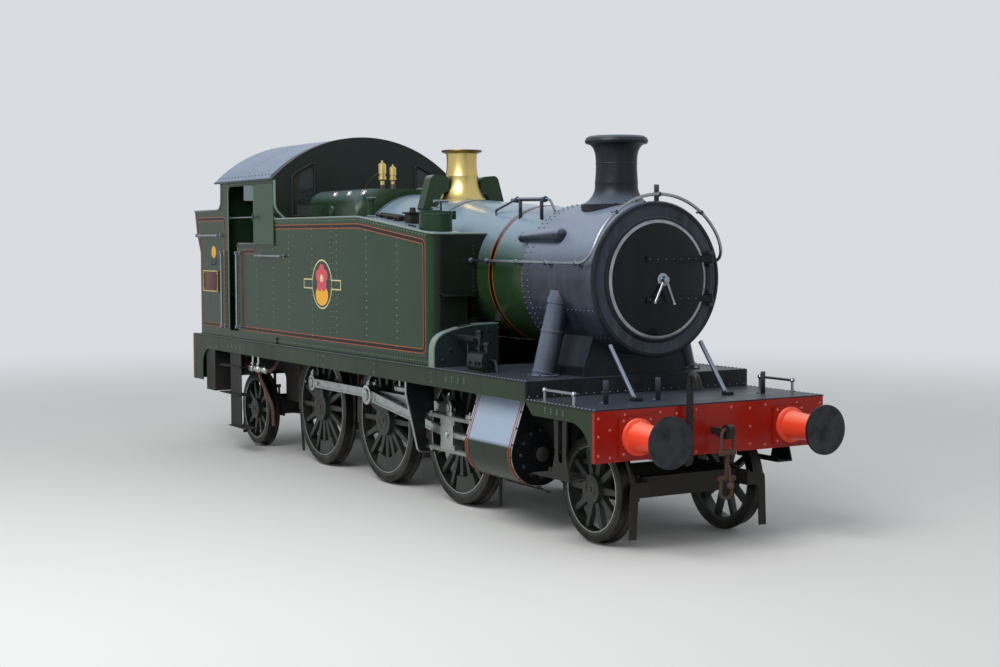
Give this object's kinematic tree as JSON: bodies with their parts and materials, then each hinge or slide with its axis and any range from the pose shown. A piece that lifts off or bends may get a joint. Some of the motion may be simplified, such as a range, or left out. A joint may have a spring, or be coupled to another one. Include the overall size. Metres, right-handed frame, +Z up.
{
  "type": "side-tank steam locomotive",
  "caption": "Side-tank steam locomotive with coupled driving wheels, a truck at each end, outside cylinders, an open-sided cab and a rear bunker.",
  "frame": {"origin": "under the middle of the length over buffers and of the width, at the lowest point of the wheel flanges, 28 mm under the top of the rail", "axes": "+X to the chimney end, +Y to the locomotive's left side, +Z up"},
  "size_m": [11.088, 2.65, 4.112],
  "materials": {
    "frame_black": "satin, oily",
    "wheel_green": "satin, dirty",
    "rod_steel": "bright, oily",
    "axle_steel": "dull",
    "buffer_steel": "greased",
    "cast_black": "rough",
    "body_green": "gloss",
    "smokebox_black": "satin",
    "roof_grey": "matt",
    "beam_red": "gloss",
    "housing_red": "gloss",
    "polished_brass": "polished",
    "cab_inside": "matt",
    "floor_wood": "worn",
    "window_glass": "clear",
    "hose_rubber": "matt",
    "lining_orange": "gloss",
    "mark_yellow": "gloss",
    "plate_red": "gloss"
  },
  "bodies": {
    "locomotive": {"main_frames": "frame_black", "frame_stretchers": "frame_black", "shutter_runners": "frame_black", "coupled_axleboxes": "frame_black", "running_plates": "frame_black", "front_platform": "frame_black", "valances": "frame_black", "drawhooks": "frame_black", "slide_bars": "frame_black", "brake_gear": "frame_black", "steps": "frame_black", "sand_boxes": "frame_black", "front_stays": "frame_black", "vacuum_pump": "frame_black", "crossheads": "rod_steel", "connecting_rods": "rod_steel", "boiler_handrail": "rod_steel", "grab_rails": "rod_steel", "buffer_heads": "buffer_steel", "front_buffer_beam": "beam_red", "rear_buffer_beam": "beam_red", "buffer_housings": "housing_red", "boiler_barrel": "body_green", "firebox": "body_green", "side_tanks": "body_green", "tank_filler_necks": "body_green", "arched_casings": "body_green", "cab_sides": "body_green", "cab_front": "body_green", "cab_back": "body_green", "bunker": "body_green", "top_feed_casings": "body_green", "smokebox": "smokebox_black", "smokebox_saddle": "smokebox_black", "cylinders": "smokebox_black", "steam_pipes": "smokebox_black", "chimney": "smokebox_black", "cab_roof": "roof_grey", "safety_valve_bonnet": "polished_brass", "backhead": "cast_black", "cab_floor": "floor_wood"},
    "driving_wheelset": {"coupled_wheels_driving": "wheel_green", "coupled_axle_driving": "axle_steel"},
    "front_wheelset": {"coupled_wheels_front": "wheel_green", "coupled_axle_front": "axle_steel"},
    "rear_wheelset": {"coupled_wheels_rear": "wheel_green", "coupled_axle_rear": "axle_steel"},
    "coupling_rod_right": {"coupling_rod_right": "rod_steel"},
    "coupling_rod_left": {"coupling_rod_left": "rod_steel"},
    "leading_truck": {"leading_truck": "frame_black"},
    "trailing_truck": {"trailing_truck": "frame_black"},
    "leading_wheelset": {"leading_wheels": "wheel_green", "leading_axle": "axle_steel"},
    "trailing_wheelset": {"trailing_wheels": "wheel_green", "trailing_axle": "axle_steel"},
    "smokebox_door": {"smokebox_door": "smokebox_black"},
    "cab_shutter_right": {"cab_shutter_right": "body_green"},
    "cab_shutter_left": {"cab_shutter_left": "body_green"},
    "tank_filler_lid_right": {"tank_filler_lid_right": "body_green"},
    "tank_filler_lid_left": {"tank_filler_lid_left": "body_green"}
  },
  "joints": [
    {"name": "driving_axle_turn", "type": "hinge", "parent": "locomotive", "child": "driving_wheelset", "pos_m": [0.02, 0, 0.733], "axis": [0, 1, 0], "continuous": true},
    {"name": "front_axle_turn", "type": "hinge", "parent": "locomotive", "child": "front_wheelset", "pos_m": [1.7725, 0, 0.733], "axis": [0, 1, 0], "continuous": true},
    {"name": "rear_axle_turn", "type": "hinge", "parent": "locomotive", "child": "rear_wheelset", "pos_m": [-1.7325, 0, 0.733], "axis": [0, 1, 0], "continuous": true},
    {"name": "right_rod_pin", "type": "hinge", "parent": "driving_wheelset", "child": "coupling_rod_right", "pos_m": [-0.04081, -0.905, 1.03188], "axis": [0, 1, 0], "continuous": true},
    {"name": "left_rod_pin", "type": "hinge", "parent": "driving_wheelset", "child": "coupling_rod_left", "pos_m": [-0.27888, 0.905, 0.67219], "axis": [0, 1, 0], "continuous": true},
    {"name": "leading_truck_swing", "type": "hinge", "parent": "locomotive", "child": "leading_truck", "pos_m": [2.7, 0, 0.47], "axis": [0, 0, 1], "range_deg": [-2.5, 2.5]},
    {"name": "trailing_truck_swing", "type": "hinge", "parent": "locomotive", "child": "trailing_truck", "pos_m": [-2.64, 0, 0.47], "axis": [0, 0, 1], "range_deg": [-2.5, 2.5]},
    {"name": "leading_axle_turn", "type": "hinge", "parent": "leading_truck", "child": "leading_wheelset", "pos_m": [4.2605, 0, 0.5105], "axis": [0, 1, 0], "continuous": true},
    {"name": "trailing_axle_turn", "type": "hinge", "parent": "trailing_truck", "child": "trailing_wheelset", "pos_m": [-3.9185, 0, 0.5105], "axis": [0, 1, 0], "continuous": true},
    {"name": "smokebox_door_hinge", "type": "hinge", "parent": "locomotive", "child": "smokebox_door", "pos_m": [4.19, 0.612, 2.427], "axis": [0, 0, 1], "range_deg": [0, 110]},
    {"name": "right_shutter_slide", "type": "slide", "parent": "locomotive", "child": "cab_shutter_right", "axis": [-1, 0, 0], "range_m": [0, 0.9]},
    {"name": "left_shutter_slide", "type": "slide", "parent": "locomotive", "child": "cab_shutter_left", "axis": [-1, 0, 0], "range_m": [0, 0.9]},
    {"name": "right_filler_hinge", "type": "hinge", "parent": "locomotive", "child": "tank_filler_lid_right", "pos_m": [1.62, -0.806, 3.096], "axis": [-1, 0, 0], "range_deg": [0, 100]},
    {"name": "left_filler_hinge", "type": "hinge", "parent": "locomotive", "child": "tank_filler_lid_left", "pos_m": [1.62, 0.806, 3.096], "axis": [1, 0, 0], "range_deg": [0, 100]}
  ],
  "couplings": [
    {"joint": "front_axle_turn", "follows": "driving_axle_turn", "ratio": 1},
    {"joint": "rear_axle_turn", "follows": "driving_axle_turn", "ratio": 1},
    {"joint": "right_rod_pin", "follows": "driving_axle_turn", "ratio": -1},
    {"joint": "left_rod_pin", "follows": "driving_axle_turn", "ratio": -1}
  ]
}
